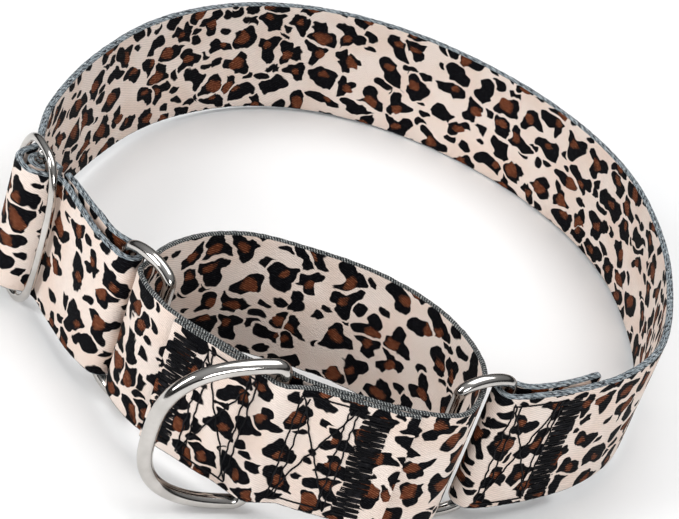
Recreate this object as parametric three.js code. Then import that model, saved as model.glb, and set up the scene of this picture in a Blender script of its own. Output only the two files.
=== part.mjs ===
// Martingale dog collar standing on its edge. Millimetres, +Z up.
// The wide neck band opens towards -Y, where two flat rings join it to the smaller control loop.
// +X is the sewn end of the neck band, -X is the end with the adjuster slide.
import * as THREE from 'three';
import { mergeVertices } from 'three/addons/utils/BufferGeometryUtils.js';

// ---- driving dimensions ----
const webbingWidth = 38;
const neckThickness = 1.8;
const loopThickness = 1.4;              // the control loop is a finer webbing
const gap = 0.3;                       // clearance between pieces that touch

const ringWire = 3.1;                  // flat rings between neck band and control loop
const ringWidth = 14.7;                // between the centres of the two bars
const ringHeight = 44;                 // between the centres of the two ends
const ringEndHeight = 3.2;             // rise of the rounded ends
const foldRadius = 3.2;                // middle of the webbing, round a ring's bar

const dRingWire = 3.8;
const dRingHeight = 44;
const dRingDepth = 28;                 // bar to bow
const dRingCorner = 3;
const dRingAngle = 207.5;              // degrees, where the bow points at rest

const slideWire = 2.2;
const slideWidth = 21.2;
const slideHeight = 45.6;
const slideEndHeight = 8;
const slideBarWire = 2.5;
const slideAngle = -51;                // degrees, along the strap from the neck towards the ring

const threadHeight = 0.5;              // how far sewing stands proud
const sewingGap = 0.55;
const stitchMargin = 2.5;              // webbing edge to sewing
const boxStitchLength = 14;
const boxStrand = 1.4;
const barStitchLength = 6;

// The collar leans on its far right edge, the slide and the right ring, so its lower edge is a
// tilted plane: the height of the webbing's lower edge at a place in plan.
const restHeight = 2.95;
const restSlopeX = -0.01;
const restSlopeY = -0.0315;

// The back of the neck band leans: its top edge stands this far over from its bottom edge.
const leanX = -4;
const leanY = -5;
const leanStart = -25;
const leanEnd = 15;

const originShift = new THREE.Vector3(-0.67, 5.6, 0);   // moves the middle of the whole collar to the origin

// ---- plan of the webbing, at the middle of its thickness ----
const leftRingBar = [-48.9, -60.9];
const rightRingBar = [47.6, -61.0];
const leftRingAngle = -33.4;           // degrees, from the neck's bar towards the loop's bar
const rightRingAngle = 219.5;
const slideCentre = [-78.2, -38.5];
const dRingBarX = -4;

const neckEndInside = [[68.2, -43.2], [63.4, -48.6], [57.4, -54.2], [51, -58.2]];
const neckRight = [
  [54.2, -60.4], [63.8, -52.2], [74.1, -40.7], [81.5, -26.7], [84.3, -9], [83.9, 13], [79.5, 31.6],
  [70.6, 51.5], [58.2, 65.9], [42, 77], [24, 84], [5, 87.3], [-12, 86.6],
];
const neckLeft = [[-30, 81.6], [-47.2, 71], [-61, 56], [-69.8, 41], [-76, 23], [-80.2, 4], [-82.7, -14]];

// Along and outwards from the slide's centre bar.
const weaveIn = [[-16.5, -7.8]];
const weaveCrest = [
  [-10, -4], [-7.3, -2.9], [-5.6, 0], [-4.6, 2.7], [-2.8, 4.7], [0, 5.4], [2.8, 4.7], [4.7, 2.7], [5.8, 0],
  [7.8, -2.3], [10.8, -2.9],
];
const weaveOut = [[16, -2.9], [23.5, -3.2], [30, -3.7]];
const returnLayer = [[29, -8], [22, -6.9], [16, -6.1], [9.5, -5.5], [6, -4.9]];
const tailEnd = [[3.4, -4], [1.8, -3.2]];

const controlLoop = [
  [-44.4, -67.1], [-36.2, -76.3], [-22, -82.1], [-11, -85.2], [-4, -84.2], [3, -85], [14, -84.2],
  [30, -81.5], [38.6, -76.8], [41.4, -68], [40.2, -56.5], [33, -45.9], [22.5, -38.6], [8, -34.6],
  [-8, -34.8], [-23.4, -37.5], [-34.8, -45.3], [-41.6, -55.5], [-43.2, -61.8],
];
const overlayStartX = -31.5;           // the outer layer at the front of the loop, which holds the D-ring
const overlayEndX = 28.5;
const pocketTop = 1;                   // either side of the D-ring's bar
const pocketReach = 7.5;

// Where each piece of sewing starts along its webbing.
const neckBoxStart = 38.5;
const neckBarStart = 53;
const overlayBarLeftStart = 1.5;
const overlayBoxLeftStart = 10.5;
const overlayBoxRightStart = 35.5;
const overlayBarRightStart = 51.5;
const tailBarEnd = 5;                  // from the end of the return strap

const materials = {
  webbing: new THREE.MeshStandardMaterial({ color: 0xe9d6c6, roughness: 0.75, metalness: 0 }),
  thread: new THREE.MeshStandardMaterial({ color: 0x151517, roughness: 0.6, metalness: 0 }),
  nickel: new THREE.MeshStandardMaterial({ color: 0xd4d2cf, roughness: 0.16, metalness: 1 }),
};

const collar = new THREE.Group();

// ---- helpers ----
const arcSteps = 16;                   // measuring steps between two points of a curve
const radians = THREE.MathUtils.degToRad;
const direction = (degrees) => new THREE.Vector2(Math.cos(radians(degrees)), Math.sin(radians(degrees)));
const lowerEdge = (x, y) => restHeight + restSlopeX * x + restSlopeY * y;
const middleHeight = ([x, y]) => lowerEdge(x, y) + webbingWidth / 2;

function addPiece(name, geometry, material) {
  const mesh = new THREE.Mesh(geometry, material);
  mesh.name = name;
  mesh.position.add(originShift);
  collar.add(mesh);
  return mesh;
}

function curveThrough(points, closed = false) {
  const places = points.map(([x, y]) => new THREE.Vector3(x, y, 0));
  const curve = new THREE.CatmullRomCurve3(places, closed, 'centripetal');
  curve.arcLengthDivisions = (points.length - (closed ? 0 : 1)) * arcSteps;
  return curve;
}

// A place given along and outwards from the slide's centre bar.
function fromSlide([along, outwards]) {
  const u = direction(slideAngle);
  return [
    slideCentre[0] + along * u.x + outwards * u.y,
    slideCentre[1] + along * u.y - outwards * u.x,
  ];
}

// Points on a fold round a bar, from one direction to the other.
function foldRound([x, y], radius, fromDegrees, toDegrees, count) {
  return Array.from({ length: count + 1 }, (_, i) => {
    const d = direction(fromDegrees + ((toDegrees - fromDegrees) * i) / count);
    return [x + radius * d.x, y + radius * d.y];
  });
}

// The length of a curve up to one of its points.
function arcLengthAt(curve, pointIndex) {
  const pieces = curve.points.length - (curve.closed ? 0 : 1);
  return curve.getLengths(pieces * arcSteps)[pointIndex * arcSteps];
}

// A strip of a curve, seen from above, from one length along it to another.
function stripOutline(curve, options) {
  const { from = 0, to = curve.getLength(), steps, offset = 0, thickness = neckThickness } = options;
  const side = (distance) => Array.from({ length: steps + 1 }, (_, i) =>
    besideCurve(curve, from + ((to - from) * i) / steps, distance));
  return new THREE.Shape([
    ...side(offset + thickness / 2),
    ...side(offset - thickness / 2).reverse(),
  ]);
}

// A place a length along a curve and a distance to its right.
function besideCurve(curve, length, distance) {
  const t = length / curve.getLength();
  const p = curve.getPointAt(t);
  const d = curve.getTangentAt(t);
  return new THREE.Vector2(p.x + d.y * distance, p.y - d.x * distance);
}

// A closed curve's outline, with its inside as a hole.
function bandOutline(curve, steps) {
  const side = (distance) => Array.from({ length: steps }, (_, i) =>
    besideCurve(curve, (i / steps) * curve.getLength(), distance));
  const shape = new THREE.Shape(side(loopThickness / 2));
  shape.holes.push(new THREE.Path(side(-loopThickness / 2)));
  return shape;
}

// Stands an outline up to the webbing's width, leans it and rests it on its tilted plane.
function stand(shape, bottom = 0, top = webbingWidth) {
  const geometry = new THREE.ExtrudeGeometry(shape, { depth: top - bottom, bevelEnabled: false, steps: 1 });
  const position = geometry.attributes.position;
  for (let i = 0; i < position.count; i += 1) {
    const x = position.getX(i);
    const y = position.getY(i);
    const h = position.getZ(i) + bottom;
    const lean = THREE.MathUtils.smoothstep(y, leanStart, leanEnd) * (h / webbingWidth - 0.5);
    position.setXYZ(i, x + leanX * lean, y + leanY * lean, h + lowerEdge(x, y));
  }
  return closedMesh(geometry);
}

function closedMesh(geometry) {
  geometry.deleteAttribute('uv');
  geometry.deleteAttribute('normal');
  const merged = mergeVertices(geometry, 1e-4);
  merged.computeVertexNormals();
  return merged;
}

// Sewing lies on the side of its webbing that is on the right hand along the curve.
function barStitch(curve, thickness, start, length = barStitchLength) {
  const outline = stripOutline(curve, {
    from: start,
    to: start + length,
    steps: 6,
    offset: (thickness + threadHeight) / 2 + sewingGap,
    thickness: threadHeight,
  });
  return stand(outline, stitchMargin, webbingWidth - stitchMargin);
}

// A box with a cross, sewn as one line, laid on the webbing's curved face.
function boxStitch(curve, thickness, start) {
  const outline = crossedBox(boxStitchLength, webbingWidth - 2 * stitchMargin, boxStrand);
  const flat = new THREE.ExtrudeGeometry(outline, { depth: threadHeight, bevelEnabled: false, steps: 1 });
  const position = flat.attributes.position;
  for (let i = 0; i < position.count; i += 1) {
    const outwards = thickness / 2 + sewingGap + position.getZ(i);
    const { x, y } = besideCurve(curve, start + position.getX(i), outwards);
    position.setXYZ(i, x, y, position.getY(i) + stitchMargin + lowerEdge(x, y));
  }
  return closedMesh(flat);
}

function crossedBox(length, height, strand) {
  const shape = new THREE.Shape();
  shape.moveTo(0, 0).lineTo(length, 0).lineTo(length, height).lineTo(0, height).closePath();
  const side = strand * 3;             // the cross is steep, so its strands are long where they meet the sides
  const middle = [length / 2, height / 2];
  const hole = (points) => shape.holes.push(new THREE.Path(points.map(([x, y]) => new THREE.Vector2(x, y))));
  hole([[strand, side], [middle[0] - strand, middle[1]], [strand, height - side]]);
  hole([[length - strand, side], [length - strand, height - side], [middle[0] + strand, middle[1]]]);
  const corner = strand * 1.6;
  const top = height - strand;
  hole([[corner, strand], [length - corner, strand], [middle[0], middle[1] - side / 2]]);
  hole([[corner, top], [middle[0], middle[1] + side / 2], [length - corner, top]]);
  return shape;
}

// A torus bent to a closed outline: round wire of any plan shape.
function bentWire(outline, wire, steps, sides) {
  const ringRadius = 10;
  const geometry = new THREE.TorusGeometry(ringRadius, wire / 2, sides, steps);
  const position = geometry.attributes.position;
  for (let i = 0; i < position.count; i += 1) {
    const x = position.getX(i);
    const y = position.getY(i);
    const turn = (Math.atan2(y, x) / (2 * Math.PI) + 1) % 1;
    const outwards = Math.hypot(x, y) - ringRadius;
    const p = outline.getPointAt(turn);
    const d = outline.getTangentAt(turn);
    position.setXY(i, p.x + d.y * outwards, p.y - d.x * outwards);
  }
  return closedMesh(geometry);
}

// Turns a flat outline upright, with its x along an angle in plan, and places its centre.
function standUpright(mesh, [x, y], degrees, height) {
  mesh.rotation.set(Math.PI / 2, 0, radians(degrees), 'ZYX');
  mesh.position.set(x, y, height).add(originShift);
}

// ---- outlines of the wire pieces, drawn flat: x across, y up ----
function roundedFrame(width, height, endHeight) {
  const path = new THREE.Path();
  const straight = height / 2 - endHeight;
  path.moveTo(width / 2, -straight);
  path.lineTo(width / 2, straight);
  path.absellipse(0, straight, width / 2, endHeight, 0, Math.PI, false);
  path.lineTo(-width / 2, -straight);
  path.absellipse(0, -straight, width / 2, endHeight, Math.PI, 2 * Math.PI, false);
  return path;
}

function dRingOutline() {
  const half = dRingHeight / 2;
  const legEnd = dRingDepth - half;
  const path = new THREE.Path();
  path.moveTo(0, half - dRingCorner);
  path.lineTo(0, -half + dRingCorner);
  path.absarc(dRingCorner, -half + dRingCorner, dRingCorner, Math.PI, 1.5 * Math.PI, false);
  path.lineTo(legEnd, -half);
  path.absarc(legEnd, 0, half, -Math.PI / 2, Math.PI / 2, false);
  path.lineTo(dRingCorner, half);
  path.absarc(dRingCorner, half - dRingCorner, dRingCorner, Math.PI / 2, Math.PI, false);
  return path;
}

// ---- neck webbing: one length, from its sewn end round the neck to the slide, the left ring and back ----
function addNeckWebbing() {
  const rightFold = foldRound(rightRingBar, foldRadius, 120, 300, 8);
  const leftFold = foldRound(leftRingBar, foldRadius, 232, 412, 8);
  const stretches = [neckEndInside, rightFold, neckRight, neckLeft, weaveIn.map(fromSlide),
    weaveCrest.map(fromSlide), weaveOut.map(fromSlide), leftFold, returnLayer.map(fromSlide)];
  const webbing = curveThrough(stretches.flat());
  const startOf = (stretch) => arcLengthAt(webbing, stretches.slice(0, stretch).flat().length);
  const split = startOf(3);
  const crestStart = startOf(5);
  const crestEnd = startOf(6);
  const end = webbing.getLength();
  const addLength = (name, from, to, steps) => addPiece(name,
    stand(stripOutline(webbing, { from: from + gap / 2, to: to - gap / 2, steps })), materials.webbing);

  addLength('neck_band_right', 0, split, 110);
  addLength('neck_band_left', split, crestStart, 44);
  addLength('slide_webbing_crest', crestStart, crestEnd, 30);
  addLength('neck_strap_return', crestEnd, end, 60);
  addPiece('neck_end_box_stitch', boxStitch(webbing, neckThickness, neckBoxStart), materials.thread);
  addPiece('neck_end_bar_stitch', barStitch(webbing, neckThickness, neckBarStart), materials.thread);
  addPiece('adjuster_tail_stitch', barStitch(webbing, neckThickness, end - tailBarEnd, barStitchLength / 2),
    materials.thread);
}

// ---- adjuster ----
function addAdjuster() {
  const wrapRadius = (slideBarWire + neckThickness) / 2 + gap;
  const wrap = foldRound([0, 0], wrapRadius, 270, 0, 12);
  const tail = curveThrough([...tailEnd, ...wrap].map(fromSlide));
  addPiece('adjuster_tail', stand(stripOutline(tail, { steps: 30 })), materials.webbing);

  const frame = addPiece('slide_frame', bentWire(roundedFrame(slideWidth, slideHeight, slideEndHeight),
    slideWire, 72, 10), materials.nickel);
  standUpright(frame, slideCentre, slideAngle, middleHeight(slideCentre));

  const barLength = slideHeight - slideWire - 3 * gap;
  const bar = addPiece('slide_center_bar', new THREE.CylinderGeometry(slideBarWire / 2, slideBarWire / 2,
    barLength, 16), materials.nickel);
  standUpright(bar, slideCentre, slideAngle, middleHeight(slideCentre));
}

// ---- rings ----
function addRing(name, bar, degrees) {
  const outline = roundedFrame(ringWidth, ringHeight, ringEndHeight);
  const ring = addPiece(name, bentWire(outline, ringWire, 84, 12), materials.nickel);
  const d = direction(degrees).multiplyScalar(ringWidth / 2);
  const centre = [bar[0] + d.x, bar[1] + d.y];
  standUpright(ring, centre, degrees, middleHeight(centre));
}

function addDRing(bar) {
  const ring = addPiece('d_ring', bentWire(dRingOutline(), dRingWire, 96, 14), materials.nickel);
  standUpright(ring, bar, dRingAngle, middleHeight(bar));
}

// ---- control loop: a closed band, and an outer layer at the front that holds the D-ring's bar ----
function lengthAtX(curve, x) {
  const searchStep = 0.05;
  let length = 0;
  while (besideCurve(curve, length, 0).x < x) length += searchStep;
  return length;
}

function overlayCurve(band) {
  const start = lengthAtX(band, overlayStartX);
  const end = lengthAtX(band, overlayEndX);
  const bar = lengthAtX(band, dRingBarX);
  const pocketRise = dRingWire + gap;
  const stretches = 30;
  const points = Array.from({ length: stretches + 1 }, (_, i) => {
    const length = start + ((end - start) * i) / stretches;
    const near = THREE.MathUtils.clamp((Math.abs(length - bar) - pocketTop) / pocketReach, 0, 1);
    const rise = pocketRise * (1 + Math.cos(Math.PI * near)) / 2;
    const { x, y } = besideCurve(band, length, loopThickness + gap + rise);
    return [x, y];
  });
  return curveThrough(points);
}

function addControlLoop() {
  const band = curveThrough(controlLoop, true);
  const overlay = overlayCurve(band);
  addPiece('control_loop_band', stand(bandOutline(band, 100)), materials.webbing);
  const overlayOutline = stripOutline(overlay, { steps: 48, thickness: loopThickness });
  addPiece('control_overlay', stand(overlayOutline), materials.webbing);
  const sew = (name, stitch, start) => addPiece(name, stitch(overlay, loopThickness, start), materials.thread);
  sew('control_bar_stitch_left', barStitch, overlayBarLeftStart);
  sew('control_box_stitch_left', boxStitch, overlayBoxLeftStart);
  sew('control_box_stitch_right', boxStitch, overlayBoxRightStart);
  sew('control_bar_stitch_right', barStitch, overlayBarRightStart);

  const barDepth = (loopThickness + dRingWire) / 2 + gap;
  const { x, y } = besideCurve(band, lengthAtX(band, dRingBarX), barDepth);
  addDRing([x, y]);
}

addNeckWebbing();
addAdjuster();
addRing('ring_left', leftRingBar, leftRingAngle);
addRing('ring_right', rightRingBar, rightRingAngle);
addControlLoop();

export default collar;
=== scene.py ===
import math
import random

import bmesh
import bpy
from mathutils import Matrix, Vector, noise


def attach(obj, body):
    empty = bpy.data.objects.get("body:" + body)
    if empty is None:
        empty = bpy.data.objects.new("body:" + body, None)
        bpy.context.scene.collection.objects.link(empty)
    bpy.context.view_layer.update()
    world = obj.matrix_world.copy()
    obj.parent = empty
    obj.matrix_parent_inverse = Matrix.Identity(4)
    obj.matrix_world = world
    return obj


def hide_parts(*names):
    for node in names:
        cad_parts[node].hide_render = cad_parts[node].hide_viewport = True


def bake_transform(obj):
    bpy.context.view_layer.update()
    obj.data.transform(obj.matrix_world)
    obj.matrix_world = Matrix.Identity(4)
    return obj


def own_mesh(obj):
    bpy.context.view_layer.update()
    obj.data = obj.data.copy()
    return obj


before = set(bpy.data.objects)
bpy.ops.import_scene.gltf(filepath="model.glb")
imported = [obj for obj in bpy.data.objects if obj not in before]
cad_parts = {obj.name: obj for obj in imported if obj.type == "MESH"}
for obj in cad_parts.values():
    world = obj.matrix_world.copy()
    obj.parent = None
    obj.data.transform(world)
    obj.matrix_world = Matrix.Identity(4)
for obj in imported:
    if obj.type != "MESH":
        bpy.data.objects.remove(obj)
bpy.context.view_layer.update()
print("frame loaded,", len(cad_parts), "nodes")

mm = 0.001

# how the collar stands: on a tilted lower edge, with the back of the neck band leaning
stance = {
    "height": 2.95,
    "slopeX": -0.01,
    "slopeY": -0.0315,
    "leanX": -4,
    "leanY": -5,
    "leanStart": -25,
    "leanEnd": 15,
    "shift": (-0.67, 5.6),
}

webbing = {
    "width": 38,
    "neckThickness": 1.8,
    "loopThickness": 1.4,
    "gap": 0.3,
    "edgeRound": 0.55,       # how far the round of a selvedge reaches in
    "faceParts": 16,
    "edgeParts": 6,
    "step": 0.7,
    "edgeWobble": 0.16,
    "wobbleScale": (0.9, 0.3),   # along and up
    "wobbleSeed": 3.7,
    "linePoints": 20,        # laid between two given points of a line
}


def smoothStep(value, low, high):
    t = min(max((value - low) / (high - low), 0), 1)
    return t * t * (3 - 2 * t)


def lowerEdge(x, y):
    return stance["height"] + stance["slopeX"] * x + stance["slopeY"] * y


def standAt(x, y, h):
    over = smoothStep(y, stance["leanStart"], stance["leanEnd"]) * (h / webbing["width"] - 0.5)
    return mm * Vector((
        x + stance["leanX"] * over + stance["shift"][0],
        y + stance["leanY"] * over + stance["shift"][1],
        h + lowerEdge(x, y),
    ))


def onPlan(x, y, height=24):
    return mm * Vector((x + stance["shift"][0], y + stance["shift"][1], height))


# a line seen from above that knows its own length
class Route:
    def __init__(self, places, closed=False):
        self.places = places + [places[0]] if closed else places
        self.closed = closed
        self.lengths = [0]
        for a, b in zip(self.places, self.places[1:]):
            self.lengths.append(self.lengths[-1] + (b - a).length)
        self.length = self.lengths[-1]

    def at(self, length):
        if self.closed:
            length %= self.length
        low, high = 0, len(self.lengths) - 2
        while low < high:
            middle = (low + high + 1) // 2
            if self.lengths[middle] <= length:
                low = middle
            else:
                high = middle - 1
        a, b = self.places[low], self.places[low + 1]
        t = (length - self.lengths[low]) / (b - a).length
        return a + (b - a) * t

    def along(self, length, reach=0.6):
        if self.closed:
            return (self.at(length + reach) - self.at(length - reach)).normalized()
        before = max(0, min(length - reach, self.length - 2 * reach))
        return (self.at(before + 2 * reach) - self.at(before)).normalized()

    def beside(self, length, distance):
        p, d = self.at(length), self.along(length)
        return p.x + d.y * distance, p.y - d.x * distance


# the smooth line through a few points, with evenly tempered knots
def smoothLine(points, closed=False, between=webbing["linePoints"]):
    p = [Vector(point) for point in points]
    if closed:
        p = [p[-1]] + p + p[:2]
    else:
        p = [2 * p[0] - p[1]] + p + [2 * p[-1] - p[-2]]
    places = []
    for a, b, c, d in zip(p, p[1:], p[2:], p[3:]):
        tb = math.sqrt((b - a).length)
        tc = tb + math.sqrt((c - b).length)
        td = tc + math.sqrt((d - c).length)
        for i in range(between):
            t = tb + (tc - tb) * i / between
            ab = a + (b - a) * t / tb
            bc = b + (c - b) * (t - tb) / (tc - tb)
            cd = c + (d - c) * (t - tc) / (td - tc)
            abc = ab + (bc - ab) * t / tc
            bcd = bc + (cd - bc) * (t - tb) / (td - tb)
            places.append(abc + (bcd - abc) * (t - tb) / (tc - tb))
    if not closed:
        places.append(p[-2].copy())
    return Route(places, closed)


def foldRound(centre, radius, start, end, count):
    turns = [math.radians(start + (end - start) * i / count) for i in range(count + 1)]
    return [(centre[0] + radius * math.cos(t), centre[1] + radius * math.sin(t)) for t in turns]


# a short way to add shader nodes: kind, what goes into its sockets, its settings
def nodeMaker(material):
    tree = material.node_tree

    def put(kind, inputs=(), **settings):
        node = tree.nodes.new("ShaderNode" + kind)
        for key, value in settings.items():
            setattr(node, key, value)
        for socket, value in dict(inputs).items():
            if isinstance(value, bpy.types.Node):
                value = value.outputs[0]
            if isinstance(value, bpy.types.NodeSocket):
                tree.links.new(value, node.inputs[socket])
            else:
                node.inputs[socket].default_value = value
        return node

    return put


def maths(put, operation, a, b=0.0):
    return put("Math", {0: a, 1: b}, operation=operation)


def vectors(put, operation, a, b=(0, 0, 0)):
    return put("VectorMath", {0: a, 1: b}, operation=operation)


def fade(put, value, start, end):
    return put("MapRange", {"Value": value, "From Min": start, "From Max": end},
               interpolation_type="SMOOTHSTEP")


def mixColour(put, amount, a, b):
    return put("Mix", {0: amount, 6: a, 7: b}, data_type="RGBA").outputs[2]


def newMaterial(name, **sockets):
    material = bpy.data.materials.new(name)
    material.use_nodes = True
    shader = material.node_tree.nodes["Principled BSDF"]
    for socket, value in sockets.items():
        shader.inputs[socket].default_value = value
    return material, shader, nodeMaker(material)


def connect(material, output, socket):
    if isinstance(output, bpy.types.Node):
        output = output.outputs[0]
    material.node_tree.links.new(output, socket)


def addBump(material, shader, put, height, bump):
    strength, distance = bump
    raisedNormal = put("Bump", {"Strength": strength, "Distance": distance, "Height": height})
    connect(material, raisedNormal, shader.inputs["Normal"])


# printed satin webbing: the spots are worked out in centimetres along and across the webbing
leopard = {
    "cream": (0.82, 0.71, 0.64, 1),
    "warmCream": (0.78, 0.635, 0.55, 1),
    "black": (0.0025, 0.0025, 0.0035, 1),
    # lift of the black on its raised floats: partly pale yarn showing through the ink, partly painted sheen
    "blackFloatYarnAndSheen": (0.015, 0.016, 0.019, 1),
    "brown": (0.112, 0.031, 0.0135, 1),
    "darkBrown": (0.018, 0.007, 0.005, 1),
    # lift of the brown on its raised floats: painted sheen
    "brownFloatSheen": (0.30, 0.115, 0.058, 1),
    "shiftAcross": 0.37,           # of the shift along the webbing
    "roughness": 0.66,
    "sheen": 0.005,
    "sheenRoughness": 0.4,
    "specular": 0.03,
    "largeBends": (1.3, 0.55),     # scale and amount
    "smallBends": (4.4, 0.16),
    "rosettesPerCm": 1.10,
    "scatter": 0.82,
    "threeLobed": (0.25, 0.55),    # of the rosettes, by chance; the others have two lobes
    "lobeDepth": 0.17,
    "lopsided": 0.06,
    "reach": (0.35, 0.47),         # of the black, in rosettes
    "blackMelt": 0.10,
    "creamGap": (0.015, 0.085),    # half the cream between two rosettes, in rosettes
    "patchScale": 2.6,
    "patchFrom": (0.36, 0.64),
    "brownReach": (0.14, 0.26),
    "brownShift": 0.11,
    "brownMelt": 0.05,
    "darkRim": (0.12, 0.10),       # where brown darkens towards the black round it
    "plainShare": 0.10,            # of the rosettes, with no brown in them
    "dotsPerCm": 1.95,
    "dotScatter": 0.8,
    "dotShape": (0.8, 1.15, 0),
    "dotReach": (0.12, 0.20),
    "dotClearance": 0.56,          # from the middle of a rosette, in rosettes
    "softness": 0.016,
    "twillPerCm": 16,
    "twillSlant": 0.42,
    "twillBends": (6.0, 0.03),
    "twillHeight": 0.16,
    "streaks": (6, 38, 1),
    "clouds": 0.8,
    "warmFrom": (0.35, 0.7),
    # where the raised floats take the painted sheen, on the black (with some pale yarn) and on the brown
    "blackFloatYarnAndSheenFrom": (0.58, 0.80),
    "brownFloatSheenFrom": (0.52, 0.84),
    "twillTone": 0.09,
    "streakFrom": (0.3, 0.7),
    "streakTone": (0.90, 1.05),
    "bumpShares": (0.5, 1.2),      # of the twill and the streaks
    "bump": (0.5, 0.00017),        # strength and distance
}


def wobble(put, place, scale, amount, detail=1.0):
    cloud = put("TexNoise", {"Vector": place, "Scale": scale, "Detail": detail, "Roughness": 0.5})
    centred = vectors(put, "SUBTRACT", cloud.outputs["Color"], (0.5, 0.5, 0.5))
    small = vectors(put, "MULTIPLY", centred, (amount, amount, 0))
    return vectors(put, "ADD", place, small)


def rescale(put, value, given, wanted):
    return put("MapRange", {"Value": value, "From Min": given[0], "From Max": given[1],
                            "To Min": wanted[0], "To Max": wanted[1]})


def printedWebbing(name, spotShift):
    p = leopard
    material, shader, put = newMaterial(name, **{
        "Roughness": p["roughness"], "Sheen Weight": p["sheen"],
        "Sheen Roughness": p["sheenRoughness"], "Specular IOR Level": p["specular"]})
    weave = put("UVMap", uv_map="weave")
    place = vectors(put, "ADD", weave, (spotShift, spotShift * p["shiftAcross"], 0))
    bent = wobble(put, wobble(put, place, *p["largeBends"]), *p["smallBends"])

    # rosettes: two or three black lobes round a brown patch, kept apart by a strip of cream
    perCm = p["rosettesPerCm"]
    cellInputs = {"Vector": bent, "Scale": perCm, "Randomness": p["scatter"]}
    cells = put("TexVoronoi", cellInputs, voronoi_dimensions="2D")
    border = put("TexVoronoi", cellInputs, voronoi_dimensions="2D", feature="DISTANCE_TO_EDGE")
    first, second, third = put("SeparateColor", {0: cells.outputs["Color"]}).outputs
    fromMiddle = vectors(put, "SUBTRACT", bent, cells.outputs["Position"])
    away = vectors(put, "MULTIPLY", fromMiddle, (perCm, perCm, 0))
    spread = vectors(put, "LENGTH", away).outputs["Value"]
    sides = put("SeparateXYZ", {0: away})
    angle = maths(put, "ARCTAN2", sides.outputs[1], sides.outputs[0])

    def lobes(count, turned, depth):
        swing = put("Math", {0: angle, 1: count, 2: maths(put, "MULTIPLY", turned, 2 * math.pi)},
                    operation="MULTIPLY_ADD")
        return maths(put, "MULTIPLY", maths(put, "COSINE", swing), depth)

    threeLobed = fade(put, first, *p["threeLobed"])
    twoLobed = maths(put, "SUBTRACT", 1.0, threeLobed)
    petals = maths(put, "ADD", maths(put, "MULTIPLY", lobes(3.0, second, p["lobeDepth"]), threeLobed),
                   maths(put, "MULTIPLY", lobes(2.0, second, p["lobeDepth"]), twoLobed))
    uneven = maths(put, "ADD", petals, lobes(1.0, third, p["lopsided"]))
    reach = maths(put, "ADD", rescale(put, third, (0, 1), p["reach"]), uneven)
    patchy = put("TexNoise", {"Vector": place, "Scale": p["patchScale"], "Detail": 1.0})
    gap = rescale(put, patchy, p["patchFrom"], p["creamGap"])
    inCell = maths(put, "SUBTRACT", border, gap)
    inLobes = maths(put, "SUBTRACT", reach, spread)
    inBlack = put("Math", {0: inLobes, 1: inCell, 2: p["blackMelt"]}, operation="SMOOTH_MIN")
    isBlack = fade(put, inBlack, -p["softness"], p["softness"])

    shift = (-p["brownShift"], p["brownShift"])
    nudge = put("CombineXYZ", {0: rescale(put, third, (0, 1), shift),
                               1: rescale(put, first, (0, 1), shift)})
    brownSpread = vectors(put, "LENGTH", vectors(put, "SUBTRACT", away, nudge)).outputs["Value"]
    brownReach = rescale(put, second, (0, 1), p["brownReach"])
    inBrown = put("Math", {0: maths(put, "SUBTRACT", brownReach, brownSpread), 1: inCell,
                           2: p["brownMelt"]}, operation="SMOOTH_MIN")
    isBrown = maths(put, "MULTIPLY", fade(put, inBrown, -p["softness"], p["softness"]),
                    maths(put, "GREATER_THAN", first, p["plainShare"]))
    nearBlack = maths(put, "MULTIPLY", fade(put, inLobes, 0.0, p["darkRim"][0]),
                      fade(put, inBrown, p["darkRim"][1], 0.0))

    # plain dots where the rosettes leave room
    dots = put("TexVoronoi", {"Vector": bent, "Scale": p["dotsPerCm"], "Randomness": p["dotScatter"]},
               voronoi_dimensions="2D")
    dotMiddle = dots.outputs["Position"]
    nearest = put("TexVoronoi", {**cellInputs, "Vector": dotMiddle}, voronoi_dimensions="2D")
    dotAway = vectors(put, "MULTIPLY", vectors(put, "SUBTRACT", bent, dotMiddle), p["dotShape"])
    dotReach = rescale(put, put("SeparateColor", {0: dots.outputs["Color"]}), (0, 1), p["dotReach"])
    inDot = maths(put, "SUBTRACT", dotReach, vectors(put, "LENGTH", dotAway).outputs["Value"])
    room = maths(put, "SUBTRACT", maths(put, "SUBTRACT", spread, reach), p["creamGap"][1])
    dotEdge = fade(put, maths(put, "MINIMUM", inDot, room), -p["softness"], p["softness"])
    isDot = maths(put, "MULTIPLY", dotEdge, maths(put, "GREATER_THAN", nearest, p["dotClearance"]))

    # satin twill: fine slanting floats, uneven in tone
    fullTurns = 2 * math.pi * p["twillPerCm"]
    floats = vectors(put, "DOT_PRODUCT", wobble(put, weave, *p["twillBends"]),
                     (fullTurns * p["twillSlant"], fullTurns, 0))
    twill = maths(put, "SINE", floats.outputs["Value"])
    streaks = put("TexNoise", {"Vector": vectors(put, "MULTIPLY", weave, p["streaks"]),
                               "Scale": 1.0, "Detail": 3.0})
    cloudy = put("TexNoise", {"Vector": weave, "Scale": p["clouds"], "Detail": 1.0})
    raised = put("Math", {0: twill, 1: p["twillHeight"], 2: streaks}, operation="MULTIPLY_ADD")

    ground = mixColour(put, fade(put, cloudy, *p["warmFrom"]), p["cream"], p["warmCream"])
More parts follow.
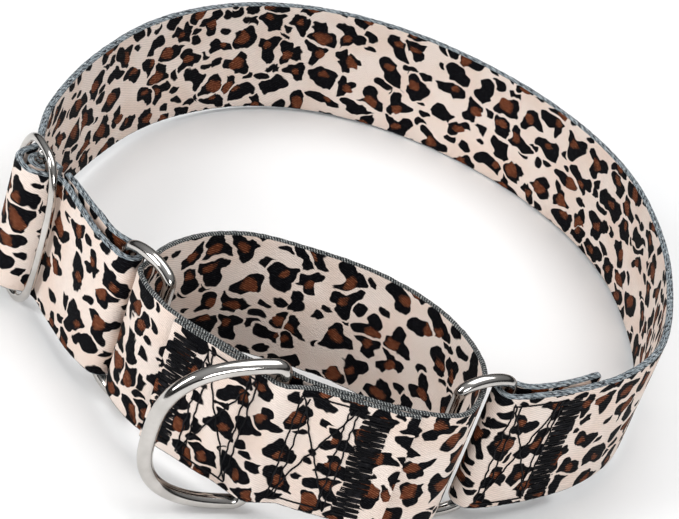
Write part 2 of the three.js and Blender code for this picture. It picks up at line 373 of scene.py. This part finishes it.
    # the raised floats are painted lighter: on the black partly pale yarn and partly painted sheen, on the
    # brown painted sheen
    inkYarnAndSheen = mixColour(put, fade(put, raised, *p["blackFloatYarnAndSheenFrom"]), p["black"], p["blackFloatYarnAndSheen"])
    brownShade = mixColour(put, nearBlack, p["brown"], p["darkBrown"])
    brown = mixColour(put, fade(put, raised, *p["brownFloatSheenFrom"]), brownShade, p["brownFloatSheen"])
    isInk = maths(put, "MAXIMUM", isBlack, isDot)
    printYarnAndSheen = mixColour(put, isBrown, mixColour(put, isInk, ground, inkYarnAndSheen), brown)
    streaky = rescale(put, streaks, p["streakFrom"], p["streakTone"])
    tone = maths(put, "ADD", maths(put, "MULTIPLY", twill, p["twillTone"]), streaky)
    toned = vectors(put, "MULTIPLY", printYarnAndSheen, put("CombineXYZ", {0: tone, 1: tone, 2: tone}))
    connect(material, toned, shader.inputs["Base Color"])

    height = maths(put, "ADD", maths(put, "MULTIPLY", twill, p["bumpShares"][0]),
                   maths(put, "MULTIPLY", streaks, p["bumpShares"][1]))
    addBump(material, shader, put, height, p["bump"])
    return material


# the bare yarns along an edge; strokes are counted to the centimetre, along and across
neckSelvedge = {
    "yarn": (0.20, 0.24, 0.265, 1),
    "dark": (0.010, 0.012, 0.017, 1),
    "pale": (0.56, 0.60, 0.62, 1),
    "strokes": (3.2, 26),
    "ribsPerCm": 5,
    "ribShare": 0.03,
    "darkShare": 0.50,
    "paleShare": 0.575,
}
loopSelvedge = {
    "yarn": (0.075, 0.085, 0.088, 1),
    "dark": (0.007, 0.008, 0.010, 1),
    "pale": (0.55, 0.56, 0.54, 1),
    "strokes": (9, 30),
    "ribsPerCm": 14,
    "ribShare": 0.10,
    "darkShare": 0.50,
    "paleShare": 0.60,
}


yarns = {
    "roughness": 0.75,
    "sheen": 0.05,
    "sheenRoughness": 0.5,
    "specular": 0.2,
    "bends": (1.6, 0.10),
    "slant": 0.12,
    "hairShift": (5.3, 2.1, 0),
    "hairScale": 2.1,
    "ribsAcross": 5,
    "ribHeight": 6,
    "fadeIn": 0.03,
    "fadeOut": 0.06,
    "bump": (0.8, 0.0003),
}


def wovenSelvedge(name, p):
    material, shader, put = newMaterial(name, **{
        "Roughness": yarns["roughness"], "Sheen Weight": yarns["sheen"],
        "Sheen Roughness": yarns["sheenRoughness"], "Specular IOR Level": yarns["specular"]})
    weave = put("UVMap", uv_map="weave")

    def measured(place, perCm):
        return vectors(put, "DOT_PRODUCT", place, perCm).outputs["Value"]

    along, across = p["strokes"]
    bent = wobble(put, weave, *yarns["bends"])
    slanted = put("CombineXYZ", {0: measured(weave, (along, 0, 0)),
                                 1: measured(bent, (across * yarns["slant"], across, 0))})
    fibres = put("TexNoise", {"Vector": slanted, "Scale": 1.0, "Detail": 3.0, "Roughness": 0.6})
    hairs = put("TexNoise", {"Vector": vectors(put, "ADD", slanted, yarns["hairShift"]),
                             "Scale": yarns["hairScale"], "Detail": 2.0})
    fullTurn = 2 * math.pi
    ribSlope = (fullTurn * p["ribsPerCm"], fullTurn * yarns["ribsAcross"], 0)
    ribs = maths(put, "SINE", measured(weave, ribSlope))
    ribbed = maths(put, "MULTIPLY", ribs, p["ribShare"])
    isDark = fade(put, maths(put, "ADD", fibres, ribbed),
                  p["darkShare"] + yarns["fadeIn"], p["darkShare"] - yarns["fadeOut"])
    isPale = fade(put, maths(put, "ADD", hairs, ribbed),
                  p["paleShare"] - yarns["fadeIn"], p["paleShare"] + yarns["fadeOut"])
    colour = mixColour(put, isPale, mixColour(put, isDark, p["yarn"], p["dark"]), p["pale"])
    connect(material, colour, shader.inputs["Base Color"])
    height = maths(put, "ADD", maths(put, "MULTIPLY", ribs, yarns["ribHeight"] * p["ribShare"]),
                   maths(put, "ADD", fibres, hairs))
    addBump(material, shader, put, height, yarns["bump"])
    return material


nickel = {
    "tint": (0.60, 0.575, 0.548, 1),
    "dullTint": (0.45, 0.43, 0.405, 1),
    "gloss": (0.07, 0.19),       # roughness where smooth and where rubbed
    "cloudScale": 120.0,
    "rubbedFrom": (0.35, 0.72),
    "dullFrom": (0.3, 0.75),
    "grainScale": 900,
    "bump": (0.12, 0.00005),
}


def polishedNickel():
    p = nickel
    material, shader, put = newMaterial("polished_nickel", **{"Metallic": 1.0})
    place = put("TexCoord").outputs["Object"]
    clouds = put("TexNoise", {"Vector": place, "Scale": p["cloudScale"], "Detail": 4.0})
    grain = put("TexNoise", {"Vector": place, "Scale": p["grainScale"], "Detail": 2.0})
    rough = rescale(put, clouds, p["rubbedFrom"], p["gloss"])
    connect(material, rough, shader.inputs["Roughness"])
    tint = mixColour(put, fade(put, clouds, *p["dullFrom"]), p["tint"], p["dullTint"])
    connect(material, tint, shader.inputs["Base Color"])
    addBump(material, shader, put, grain, p["bump"])
    return material


thread = {
    "colour": (0.003, 0.003, 0.004, 1),
    "lintColour": (0.014, 0.014, 0.017, 1),
    "roughness": 0.5,
    "specular": 0.08,
    "strandScale": 2600.0,
    "lintScale": 500.0,
    "lintFrom": (0.45, 0.75),
    "bump": (0.6, 0.00012),
}


def blackThread():
    p = thread
    material, shader, put = newMaterial("black_thread", **{"Roughness": p["roughness"],
                                                           "Specular IOR Level": p["specular"]})
    place = put("TexCoord").outputs["Object"]
    strands = put("TexNoise", {"Vector": place, "Scale": p["strandScale"], "Detail": 2.0})
    lint = put("TexNoise", {"Vector": place, "Scale": p["lintScale"], "Detail": 3.0})
    colour = mixColour(put, fade(put, lint, *p["lintFrom"]), p["colour"], p["lintColour"])
    connect(material, colour, shader.inputs["Base Color"])
    addBump(material, shader, put, strands, p["bump"])
    return material


neckPrint = printedWebbing("neck_leopard_print", 0.0)
loopPrint = printedWebbing("loop_leopard_print", 23.0)
neckEdge = wovenSelvedge("neck_woven_edge", neckSelvedge)
loopEdge = wovenSelvedge("loop_ribbed_edge", loopSelvedge)
nickelFinish = polishedNickel()
threadFinish = blackThread()
print("materials made")


def addObject(name, bm, *materials):
    mesh = bpy.data.meshes.new(name)
    bm.to_mesh(mesh)
    bm.free()
    piece = bpy.data.objects.new(name, mesh)
    bpy.context.scene.collection.objects.link(piece)
    for material in materials:
        mesh.materials.append(material)
    return piece


# once round the webbing's section: height, outwards, place across the print, whether it is selvedge
def webbingSection(thickness):
    half = thickness / 2
    inset = webbing["edgeRound"]
    width = webbing["width"]
    faces, edges = webbing["faceParts"], webbing["edgeParts"]
    section = []
    for side in (1, -1):
        low, high = (inset, width - inset) if side == 1 else (width - inset, inset)
        printStart = 0 if side == 1 else 3 * width
        for i in range(faces):
            h = low + (high - low) * i / faces
            section.append((h, side * half, printStart + abs(h - low), False))
        for i in range(edges):
            t = math.pi * i / edges
            h = high + side * inset * math.sin(t)
            section.append((h, side * half * math.cos(t), i * half * math.pi / edges, True))
    section.append(section[0][:2] + (half * math.pi, True))
    return section


def layWebbing(name, route, start, end, thickness, materials):
    section = webbingSection(thickness)
    columns = len(section) - 1
    rows = max(2, round((end - start) / webbing["step"]))
    bm = bmesh.new()
    bmesh.ops.create_grid(bm, x_segments=rows, y_segments=columns, size=0.5)
    weave = bm.loops.layers.uv.new("weave")
    places = {v: (round((v.co.x + 0.5) * rows), round((v.co.y + 0.5) * columns)) for v in bm.verts}
    for face in bm.faces:
        row = min(places[v][1] for v in face.verts)
        isEdge = section[row][3]
        face.smooth = True
        face.material_index = 1 if isEdge else 0
        for loop in face.loops:
            i, j = places[loop.vert]
            across = section[j][2]
            # the print and the selvedge each end on their own scale
            if j > row and section[j][3] != isEdge:
                across = section[row][2] + abs(section[j][0] - section[row][0])
                if isEdge:
                    across = thickness * math.pi / 2
            loop[weave].uv = ((start + (end - start) * i / rows) / 10, across / 10)
    for v, (i, j) in places.items():
        h, outwards, _, isEdge = section[j % columns]
        length = start + (end - start) * i / rows
        bumpy = webbing["edgeWobble"] * noise.noise(Vector((
            length * webbing["wobbleScale"][0], h * webbing["wobbleScale"][1], webbing["wobbleSeed"])))
        x, y = route.beside(length, outwards)
        v.co = standAt(x, y, h + bumpy if isEdge else h)
    bmesh.ops.remove_doubles(bm, verts=bm.verts, dist=0.001 * mm)
    caps = bmesh.ops.holes_fill(bm, edges=bm.edges, sides=0)["faces"]
    for face in caps:
        face.material_index = 1
        for edge in face.edges:
            edge.smooth = False
    bmesh.ops.recalc_face_normals(bm, faces=bm.faces)
    return addObject(name, bm, *materials)


wireWeld = {"swell": 0.07, "reach": 1.1}


# round wire along a closed outline drawn flat, stood up with its x along an angle in plan
def bendWire(name, outline, wire, centre, angle, steps, sides, weldAt=None):
    turn = math.radians(angle)
    middle = lowerEdge(*centre) + webbing["width"] / 2
    across = Vector((math.cos(turn), math.sin(turn), 0))
    normal = Vector((math.sin(turn), -math.cos(turn), 0))
    origin = Vector((centre[0] + stance["shift"][0], centre[1] + stance["shift"][1], middle))

    def station(i):
        length = outline.length * i / steps
        p, d = outline.at(length), outline.along(length)
        away = across * d.y - Vector((0, 0, d.x))
        run = across * d.x + Vector((0, 0, d.y))
        swell = 1
        if weldAt is not None:
            near = abs((length - weldAt + outline.length / 2) % outline.length - outline.length / 2)
            swell = 1 + wireWeld["swell"] * math.exp(-(near / wireWeld["reach"]) ** 2)
        turned = Matrix((away, normal, run)).transposed().to_4x4()
        place = Matrix.Translation((origin + across * p.x + Vector((0, 0, p.y))) * mm)
        return place @ turned @ Matrix.Scale(swell, 4)

    bm = bmesh.new()
    ring = bmesh.ops.create_circle(bm, segments=sides, radius=wire / 2 * mm)["verts"]
    stations = [station(i) for i in range(steps + 1)]
    bmesh.ops.transform(bm, matrix=stations[0], verts=ring)
    edges = bm.edges[:]
    for here, following in zip(stations, stations[1:]):
        grown = bmesh.ops.extrude_edge_only(bm, edges=edges)["geom"]
        verts = [g for g in grown if isinstance(g, bmesh.types.BMVert)]
        edges = [g for g in grown if isinstance(g, bmesh.types.BMEdge)]
        bmesh.ops.transform(bm, matrix=following @ here.inverted(), verts=verts)
    bmesh.ops.remove_doubles(bm, verts=bm.verts, dist=0.01 * mm)
    bmesh.ops.recalc_face_normals(bm, faces=bm.faces)
    for face in bm.faces:
        face.smooth = True
    return addObject(name, bm, nickelFinish)


def roundedFrame(width, height, endHeight, count=24):
    straight = height / 2 - endHeight
    places = []
    for side in (1, -1):
        for i in range(count + 1):
            t = math.pi * i / count
            x = side * width / 2 * math.cos(t)
            places.append(Vector((x, side * (straight + endHeight * math.sin(t)))))
    return Route(places, closed=True)


def softFrame(width, height, squareness, count=160):
    places = []
    for i in range(count):
        t = 2 * math.pi * i / count
        c, s = math.cos(t), math.sin(t)
        places.append(Vector((
            width / 2 * math.copysign(abs(c) ** (2 / squareness), c),
            height / 2 * math.copysign(abs(s) ** (2 / squareness), s),
        )))
    return Route(places, closed=True)


# thread laid as many short lengths, made a mesh at once
def layThread(name, lengths, radius):
    curve = bpy.data.curves.new(name, "CURVE")
    curve.dimensions = "3D"
    curve.bevel_depth = radius * mm
    curve.bevel_resolution = 1
    curve.use_fill_caps = True
    for points in lengths:
        spline = curve.splines.new("POLY")
        spline.points.add(len(points) - 1)
        for point, place in zip(spline.points, points):
            point.co = (*place, 1)
    drawn = bpy.data.objects.new(name + "_line", curve)
    bpy.context.scene.collection.objects.link(drawn)
    bpy.context.view_layer.update()
    mesh = bpy.data.meshes.new_from_object(drawn.evaluated_get(bpy.context.evaluated_depsgraph_get()))
    bpy.data.objects.remove(drawn)
    bpy.data.curves.remove(curve)
    mesh.name = name
    mesh.materials.clear()
    mesh.materials.append(threadFinish)
    for polygon in mesh.polygons:
        polygon.use_smooth = True
    piece = bpy.data.objects.new(name, mesh)
    bpy.context.scene.collection.objects.link(piece)
    return piece


sewing = {
    "margin": 2.5,
    "threadRadius": 0.2,
    "stitch": 2.6,
    "boxLength": 14,
    "boxRadius": 0.22,
    "boxDouble": 1.7,      # between the two lines of a doubled side
    "doubleShort": 0.5,    # how much nearer the middle the inner line ends
    "cornerMiss": (0.3, 0.4),
    "barLength": 6,
    "barPitch": 0.84,
    "barDrift": 1.6,
    "barFray": 0.35,
    "barSlant": 0.35,
    "barMiss": 0.1,
    "barArch": (0.06, 0.88),   # how much of an arch a thread of a bar makes
    "passLoft": (0.4, 0.7),    # the first pass, and what each later one adds, in thread radii
    "driftScale": 0.12,
    "wander": 0.28,
    "shake": 0.55,
    "shakeScale": (1.3, 9),
    "loft": (1.5, 0.75),   # of a stitch over the webbing and into it, in thread radii
}


# one straight run of stitches on the webbing's face, dipping in where the needle went
def stitchRun(route, a, b, surface, chance):
    count = max(1, round(math.dist(a, b) / sewing["stitch"]))
    parts = 4
    over, under = sewing["loft"]
    shakeAlong, shakeAcross = sewing["shakeScale"]
    points = []
    bend = chance.uniform(-1, 1) * sewing["wander"]
    for i in range(count * parts + 1):
        t = i / (count * parts)
        shaken = sewing["shake"] * noise.noise(Vector((t * count * shakeAlong, bend * shakeAcross, a[0])))
        length = a[0] + (b[0] - a[0]) * t + bend * math.sin(math.pi * t) + shaken
        h = a[1] + (b[1] - a[1]) * t
        lift = sewing["threadRadius"] * (over * abs(math.sin(math.pi * t * count)) - under)
        x, y = route.beside(length, surface + math.copysign(lift, surface))
        points.append(standAt(x, y, h))
    return points


def boxThreads(route, start, surface, seed, length=None):
    chance = random.Random(seed)
    length = length or sewing["boxLength"]
    low, high = sewing["margin"], webbing["width"] - sewing["margin"]
    end, double, short = start + length, sewing["boxDouble"], sewing["doubleShort"]
    missAlong, missUp = sewing["cornerMiss"]

    def corner(along, h):
        return along + chance.uniform(-missAlong, missAlong), h + chance.uniform(-missUp, missUp)

    lines = [
        ((start, low), (start, high)), ((start + double, low + short), (start + double, high - short)),
        ((end, low), (end, high)), ((end - double, low + short), (end - double, high - short)),
        ((start, low), (end, low)), ((start, high), (end, high)),
        ((start, low), (end, high)), ((start, high), (end, low)),
    ]
    return [stitchRun(route, corner(*a), corner(*b), surface, chance) for a, b in lines]


# a bar tack: threads sewn to and fro close together, with a toothed edge that frays
def barThreads(route, start, surface, seed, length=None, passes=2):
    chance = random.Random(seed)
    length = length or sewing["barLength"]
    low, high = sewing["margin"], webbing["width"] - sewing["margin"]
    pitch, miss, fray = sewing["barPitch"], sewing["barMiss"], sewing["barFray"]
    archStart, archRun = sewing["barArch"]
    firstLoft, addedLoft = sewing["passLoft"]
    parts = 4
    strands = []
    for turn in range(passes):
        points = []
        for i in range(round((high - low) / pitch)):
            h = low + pitch * (i + turn / passes + chance.uniform(-miss, miss))
            drift = sewing["barDrift"] * noise.noise(Vector((h * sewing["driftScale"], seed, 0)))
            first = start + drift - fray * chance.random() ** 2
            last = start + drift + length + fray * chance.random() ** 2
            for j in range(parts + 1):
                t = j / parts
                along = first + (last - first) * (1 - t if i % 2 else t)
                arch = math.sin(math.pi * (archStart + archRun * t))
                lift = sewing["threadRadius"] * (firstLoft + addedLoft * turn) * arch
                x, y = route.beside(along, surface + math.copysign(lift, surface))
                points.append(standAt(x, y, h + sewing["barSlant"] * pitch * t))
        strands.append(points)
    return strands


neck = {
    "leftRingBar": (-48.9, -60.9),
    "rightRingBar": (47.6, -61.0),
    "foldRadius": 3.2,
    "leftFold": (232, 412),      # degrees
    "rightFold": (120, 300),
    "foldParts": 8,
    "slideCentre": (-78.2, -38.5),
    "slideAngle": -51,
    "slideRun": 84,              # webbing before the slide that gives as the slide moves
}


# places given along the slide's strap and outwards from it, put where the slide is
def fromSlide(points):
    x, y = neck["slideCentre"]
    turn = math.radians(neck["slideAngle"])
    u = Vector((math.cos(turn), math.sin(turn)))
    return [(x + a * u.x + o * u.y, y + a * u.y - o * u.x) for a, o in points]


neckEndInside = [(68.2, -43.2), (63.4, -48.6), (57.4, -54.2), (51, -58.2)]
neckRight = [
    (54.2, -60.4), (63.8, -52.2), (74.1, -40.7), (81.5, -26.7), (84.3, -9), (83.9, 13), (79.5, 31.6),
    (70.6, 51.5), (58.2, 65.9), (42, 77), (24, 84), (5, 87.3), (-12, 86.6),
]
neckLeft = [(-30, 81.6), (-47.2, 71), (-61, 56), (-69.8, 41), (-76, 23), (-80.2, 4), (-82.7, -14)]
weaveIn = fromSlide([(-16.5, -7.8)])
weaveCrest = fromSlide([
    (-10, -4), (-7.3, -2.9), (-5.6, 0), (-4.6, 2.7), (-2.8, 4.7), (0, 5.4), (2.8, 4.7), (4.7, 2.7),
    (5.8, 0), (7.8, -2.3), (10.8, -2.9),
])
weaveOut = fromSlide([(16, -2.9), (23.5, -3.2), (30, -3.7)])
returnLayer = fromSlide([(29, -8), (22, -6.9), (16, -6.1), (9.5, -5.5), (6, -4.9)])
rightFold = foldRound(neck["rightRingBar"], neck["foldRadius"], *neck["rightFold"], neck["foldParts"])
leftFold = foldRound(neck["leftRingBar"], neck["foldRadius"], *neck["leftFold"], neck["foldParts"])
stretches = [
    neckEndInside, rightFold, neckRight, neckLeft, weaveIn, weaveCrest, weaveOut, leftFold, returnLayer,
]
neckRoute = smoothLine([place for stretch in stretches for place in stretch])


# how far along the neck webbing a point of one of its stretches is
def lengthAtPoint(stretch, number=0):
    before = sum(len(earlier) for earlier in stretches[:stretches.index(stretch)])
    return neckRoute.lengths[(before + number) * webbing["linePoints"]]


crestTop = lengthAtPoint(weaveCrest, len(weaveCrest) // 2)
foldTop = lengthAtPoint(leftFold, neck["foldParts"] // 2)
slideRunStart = lengthAtPoint(weaveCrest) - neck["slideRun"]
neckMaterials = (neckPrint, neckEdge)


def slidePoint(along):
    return onPlan(*fromSlide([(along, 0)])[0])


neckThick, loopThick = webbing["neckThickness"], webbing["loopThickness"]
neckPiece = layWebbing("neck_webbing", neckRoute, 0, slideRunStart, neckThick, neckMaterials)
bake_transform(neckPiece)
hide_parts("neck_band_right", "neck_band_left")

slideInPiece = layWebbing("slide_webbing_in", neckRoute, slideRunStart, crestTop, neckThick, neckMaterials)
slidePoint(-60)
slidePoint(-12)
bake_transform(slideInPiece)
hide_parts("slide_webbing_crest")

slideOutPiece = layWebbing("slide_webbing_out", neckRoute, crestTop, foldTop, neckThick, neckMaterials)
slidePoint(4)
slidePoint(33)
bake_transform(slideOutPiece)
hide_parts("slide_webbing_crest", "neck_strap_return")

returnPiece = layWebbing("return_webbing", neckRoute, foldTop, neckRoute.length, neckThick, neckMaterials)
slidePoint(33)
slidePoint(4)
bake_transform(returnPiece)
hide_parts("neck_strap_return")
print("neck webbing laid")

neckSewing = {
    "boxStart": 38.5,
    "barStart": 53,
    "nearestEnd": 1.5,       # the inner bar stays this far from the webbing's cut
    "boxSeeds": (11, 12),
    "barSeeds": (13, 14),
}
foldMiddle = lengthAtPoint(rightFold, neck["foldParts"] // 2)


# where the same stitches come out on the folded end's inner face
def mirrored(start, length):
    return 2 * foldMiddle - start - length


boxStarts = (neckSewing["boxStart"], mirrored(neckSewing["boxStart"], sewing["boxLength"]))
barStarts = (neckSewing["barStart"],
             max(neckSewing["nearestEnd"], mirrored(neckSewing["barStart"], sewing["barLength"])))
boxLines, barLines = [], []
for start, seed in zip(boxStarts, neckSewing["boxSeeds"]):
    boxLines += boxThreads(neckRoute, start, neckThick / 2, seed)
for start, seed in zip(barStarts, neckSewing["barSeeds"]):
    barLines += barThreads(neckRoute, start, neckThick / 2, seed)
neckBox = layThread("neck_end_box_threads", boxLines, sewing["boxRadius"])
neckBar = layThread("neck_end_bar_threads", barLines, sewing["threadRadius"])
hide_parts("neck_end_box_stitch")
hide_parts("neck_end_bar_stitch")
for piece in (neckBox, neckBar):
    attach(piece, "neck_right")
print("neck end sewn")

slide = {
    "wire": 2.2,
    "width": 21.2,
    "height": 45.6,
    "squareness": 3.0,
    "steps": 160,
    "sides": 20,
    "weldAt": 6,
    "barWire": 2.5,
    "barShort": 0.4,         # in wires
    "barSides": 28,
    "barRound": 0.8,
    "tailEnd": [(3.4, -4), (1.8, -3.2)],
    "tailWrap": (270, 0, 12),
    "tailBarFromEnd": 5,
    "tailBarLength": 3,
    "tailSeed": 15,
}
slideOutline = softFrame(slide["width"], slide["height"], slide["squareness"])
slideFrame = bendWire("slide_wire_frame", slideOutline, slide["wire"], neck["slideCentre"],
                      neck["slideAngle"], slide["steps"], slide["sides"], weldAt=slide["weldAt"])
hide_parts("slide_frame")


def makeSlideBar():
    x, y = neck["slideCentre"]
    bm = bmesh.new()
    radius = slide["barWire"] / 2 * mm
    depth = slide["height"] - slide["wire"] * slide["barShort"]
    bmesh.ops.create_cone(bm, cap_ends=True, segments=slide["barSides"], radius1=radius,
                          radius2=radius, depth=depth * mm,
                          matrix=Matrix.Translation(onPlan(x, y, lowerEdge(x, y) + webbing["width"] / 2)))
    rims = [e for e in bm.edges if len(e.link_faces) == 2 and any(len(f.verts) > 4 for f in e.link_faces)]
    bmesh.ops.bevel(bm, geom=rims, offset=slide["barRound"] * mm, offset_type="OFFSET", affect="EDGES",
                    segments=4, profile=0.5, material=-1)
    for face in bm.faces:
        face.smooth = True
    return addObject("slide_wire_bar", bm, nickelFinish)


slideBar = makeSlideBar()
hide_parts("slide_center_bar")
wrapRadius = (slide["barWire"] + neckThick) / 2 + webbing["gap"]
wrapPoints = slide["tailEnd"] + foldRound((0, 0), wrapRadius, *slide["tailWrap"])
tailRoute = smoothLine(fromSlide(wrapPoints))
tailPiece = layWebbing("tail_webbing", tailRoute, 0, tailRoute.length, neckThick, neckMaterials)
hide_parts("adjuster_tail")
tailLines = barThreads(neckRoute, neckRoute.length - slide["tailBarFromEnd"], neckThick / 2,
                       slide["tailSeed"], length=slide["tailBarLength"], passes=1)
tailThreads = layThread("tail_threads", tailLines, sewing["threadRadius"])
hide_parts("adjuster_tail_stitch")
for piece in (slideFrame, slideBar, tailPiece, tailThreads):
    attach(piece, "adjuster")
print("adjuster made")

rings = {
    "wire": 3.1,
    "width": 14.7,
    "height": 44,
    "endHeight": 3.2,
    "steps": 150,
    "sides": 24,
    "weldAt": 70,
    "left": ("leftRingBar", -33.4),      # bar in the neck band, degrees from it to the other bar
    "right": ("rightRingBar", 219.5),
}
for side in ("left", "right"):
    barName, angle = rings[side]
    barX, barY = neck[barName]
    turn = math.radians(angle)
    halfWidth = rings["width"] / 2
    centre = (barX + halfWidth * math.cos(turn), barY + halfWidth * math.sin(turn))
    outline = roundedFrame(rings["width"], rings["height"], rings["endHeight"])
    ring = bendWire("nickel_ring_" + side, outline, rings["wire"], centre, angle, rings["steps"],
                    rings["sides"], weldAt=rings["weldAt"])
    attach(ring, "ring_" + side)
    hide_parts("ring_" + side)
print("rings made")

loop = {
    "points": [
        (-44.4, -67.1), (-36.2, -76.3), (-22, -82.1), (-11, -85.2), (-4, -84.2), (3, -85), (14, -84.2),
        (30, -81.5), (38.6, -76.8), (41.4, -68), (40.2, -56.5), (33, -45.9), (22.5, -38.6), (8, -34.6),
        (-8, -34.8), (-23.4, -37.5), (-34.8, -45.3), (-41.6, -55.5), (-43.2, -61.8),
    ],
    "overlayFrom": -31.5,
    "overlayTo": 28.5,
    "overlayParts": 30,
    "pocketTop": 1,
    "pocketReach": 7.5,
    "keep": 0.657,       # how much of its length is left across X with the collar drawn in
    "anchorX": -0.0046,
    "barLeft": 1.5,
    "boxLeft": 10.5,
    "leftSeed": 21,
    "boxRight": 35.5,
    "barRight": 51.5,
    "rightSeed": 31,
}
dRing = {
    "wire": 3.8,
    "height": 44,
    "depth": 28,
    "corner": 3,
    "cornerParts": 12,
    "bowParts": 120,
    "squareness": 2.7,
    "barX": -4,
    "angle": 207.5,
    "steps": 190,
    "sides": 28,
    "weldFromEnd": 20,
}
loopRoute = smoothLine(loop["points"], closed=True)


def loopLengthAt(x, step=0.05):
    length = 0
    while loopRoute.at(length).x < x:
        length += step
    return length


# the outer layer at the front, lifted over the leash ring's bar
def overlayLine():
    start, end, bar = (loopLengthAt(x) for x in (loop["overlayFrom"], loop["overlayTo"], dRing["barX"]))
    rise = dRing["wire"] + webbing["gap"]
    points = []
    for i in range(loop["overlayParts"] + 1):
        length = start + (end - start) * i / loop["overlayParts"]
        near = min(max((abs(length - bar) - loop["pocketTop"]) / loop["pocketReach"], 0), 1)
        lift = rise * (1 + math.cos(math.pi * near)) / 2
        points.append(loopRoute.beside(length, loopThick + webbing["gap"] + lift))
    return smoothLine(points)


overlayRoute = overlayLine()
loopMaterials = (loopPrint, loopEdge)
loopPiece = layWebbing("loop_webbing", loopRoute, 0, loopRoute.length, loopThick, loopMaterials)
overlayPiece = layWebbing("overlay_webbing", overlayRoute, 0, overlayRoute.length, loopThick, loopMaterials)
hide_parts("control_loop_band")
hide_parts("control_overlay")
backFace = -(1.5 * loopThick + webbing["gap"])
loopPieces = [loopPiece, overlayPiece]
for side, boxStart, barStart, seed in (("left", loop["boxLeft"], loop["barLeft"], loop["leftSeed"]),
                                       ("right", loop["boxRight"], loop["barRight"], loop["rightSeed"])):
    box = layThread("loop_box_threads_" + side, boxThreads(overlayRoute, boxStart, loopThick / 2, seed)
                    + boxThreads(overlayRoute, boxStart, backFace, seed + 1), sewing["boxRadius"])
    bar = layThread("loop_bar_threads_" + side, barThreads(overlayRoute, barStart, loopThick / 2, seed + 2)
                    + barThreads(overlayRoute, barStart, backFace, seed + 3), sewing["threadRadius"])
    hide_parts("control_box_stitch_" + side)
    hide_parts("control_bar_stitch_" + side)
    loopPieces += [box, bar]
for piece in loopPieces:
    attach(piece, "control_loop")
    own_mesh(piece)
print("control loop sewn")


# a straight bar with small corners, and a bow
def dRingOutline():
    half, corner, n = dRing["height"] / 2, dRing["corner"], dRing["squareness"]
    cornerParts, bowParts = dRing["cornerParts"], dRing["bowParts"]

    def turnedCorner(centreY, start):
        turns = [start + math.pi / 2 * i / cornerParts for i in range(cornerParts + 1)]
        return [Vector((corner + corner * math.cos(t), centreY + corner * math.sin(t))) for t in turns]

    places = turnedCorner(-half + corner, math.pi)
    for i in range(1, bowParts):
        t = math.pi * (i / bowParts - 0.5)
        x = dRing["depth"] * math.cos(t) ** (2 / n)
        if x > corner:
            places.append(Vector((x, half * math.copysign(abs(math.sin(t)) ** (2 / n), t))))
    return Route(places + turnedCorner(half - corner, math.pi / 2), closed=True)


barDepth = (loopThick + dRing["wire"]) / 2 + webbing["gap"]
dRingBar = loopRoute.beside(loopLengthAt(dRing["barX"]), barDepth)
leashOutline = dRingOutline()
leashRing = bendWire("nickel_d_ring", leashOutline, dRing["wire"], dRingBar, dRing["angle"], dRing["steps"],
                     dRing["sides"], weldAt=leashOutline.length - dRing["weldFromEnd"])
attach(leashRing, "d_ring")
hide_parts("d_ring")
print("leash ring made")

studio = {
    "cameraPlace": (-0.00162, -0.51002, 0.39865),
    "elevation": 36.6,
    "roll": 19.43,
    "lens": 128.5,
    "softboxes": {           # place, size, power
        "top_softbox": ((0.1, 0.15, 0.9), (0.9, 0.7), 5.6),
        "left_softbox": ((-0.8, -0.5, 0.6), (0.3, 0.6), 6.8),
        "front_softbox": ((0.45, -0.95, 0.45), (0.5, 0.3), 4.6),
    },
    "aim": (0, 0, 0.02),
    "floorSize": 4,
    "floorRoughness": 0.8,
    "floorColour": (0.93, 0.93, 0.93, 1),
    "skyStrength": 0.45,
    "skyTint": (0.97, 0.985, 1),
    "skyShades": ((0.0, 0.30), (0.50, 0.12), (0.62, 0.06), (0.72, 0.55), (1.0, 1.05)),   # upwards
}


def addCamera():
    camera = bpy.data.cameras.new("camera")
    camera.lens = studio["lens"]
    camera.sensor_width = 36
    camera.clip_start = 0.01
    camera.clip_end = 20
    holder = bpy.data.objects.new("camera", camera)
    bpy.context.scene.collection.objects.link(holder)
    holder.matrix_world = (Matrix.Translation(studio["cameraPlace"])
                           @ Matrix.Rotation(math.radians(90 - studio["elevation"]), 4, "X")
                           @ Matrix.Rotation(math.radians(studio["roll"]), 4, "Z"))
    bpy.context.scene.camera = holder


def addSoftbox(name, place, size, power):
    light = bpy.data.lights.new(name, "AREA")
    light.shape = "RECTANGLE"
    light.size, light.size_y = size
    light.energy = power
    holder = bpy.data.objects.new(name, light)
    bpy.context.scene.collection.objects.link(holder)
    holder.location = place
    towards = Vector(studio["aim"]) - Vector(place)
    holder.rotation_euler = towards.to_track_quat("-Z", "Y").to_euler()


def addFloor():
    bm = bmesh.new()
    bmesh.ops.create_grid(bm, x_segments=1, y_segments=1, size=studio["floorSize"])
    material = newMaterial("pale_floor", **{"Roughness": studio["floorRoughness"],
                                            "Base Color": studio["floorColour"]})[0]
    floor = addObject("floor", bm, material)


addCamera()
addFloor()
for name, (place, size, power) in studio["softboxes"].items():
    addSoftbox(name, place, size, power)


# a room that is dark at eye height and light overhead, so that round wire shows its shape
def addRoom():
    room = bpy.data.worlds.new("studio")
    room.use_nodes = True
    put = nodeMaker(room)
    height = put("SeparateXYZ", {0: put("TexCoord").outputs["Generated"]}).outputs[2]
    shades = put("ValToRGB", {0: put("MapRange", {"Value": height, "From Min": -1.0})})
    ramp = shades.color_ramp
    ramp.interpolation = "EASE"
    for i, (place, grey) in enumerate(studio["skyShades"]):
        stop = ramp.elements[i] if i < 2 else ramp.elements.new(place)
        stop.position = place
        stop.color = [grey * share for share in studio["skyTint"]] + [1]
    background = room.node_tree.nodes["Background"]
    connect(room, shades, background.inputs["Color"])
    background.inputs["Strength"].default_value = studio["skyStrength"]
    bpy.context.scene.world = room


addRoom()
bpy.context.scene.view_settings.view_transform = "Standard"   # so that the dyes show as they are
print("studio set")
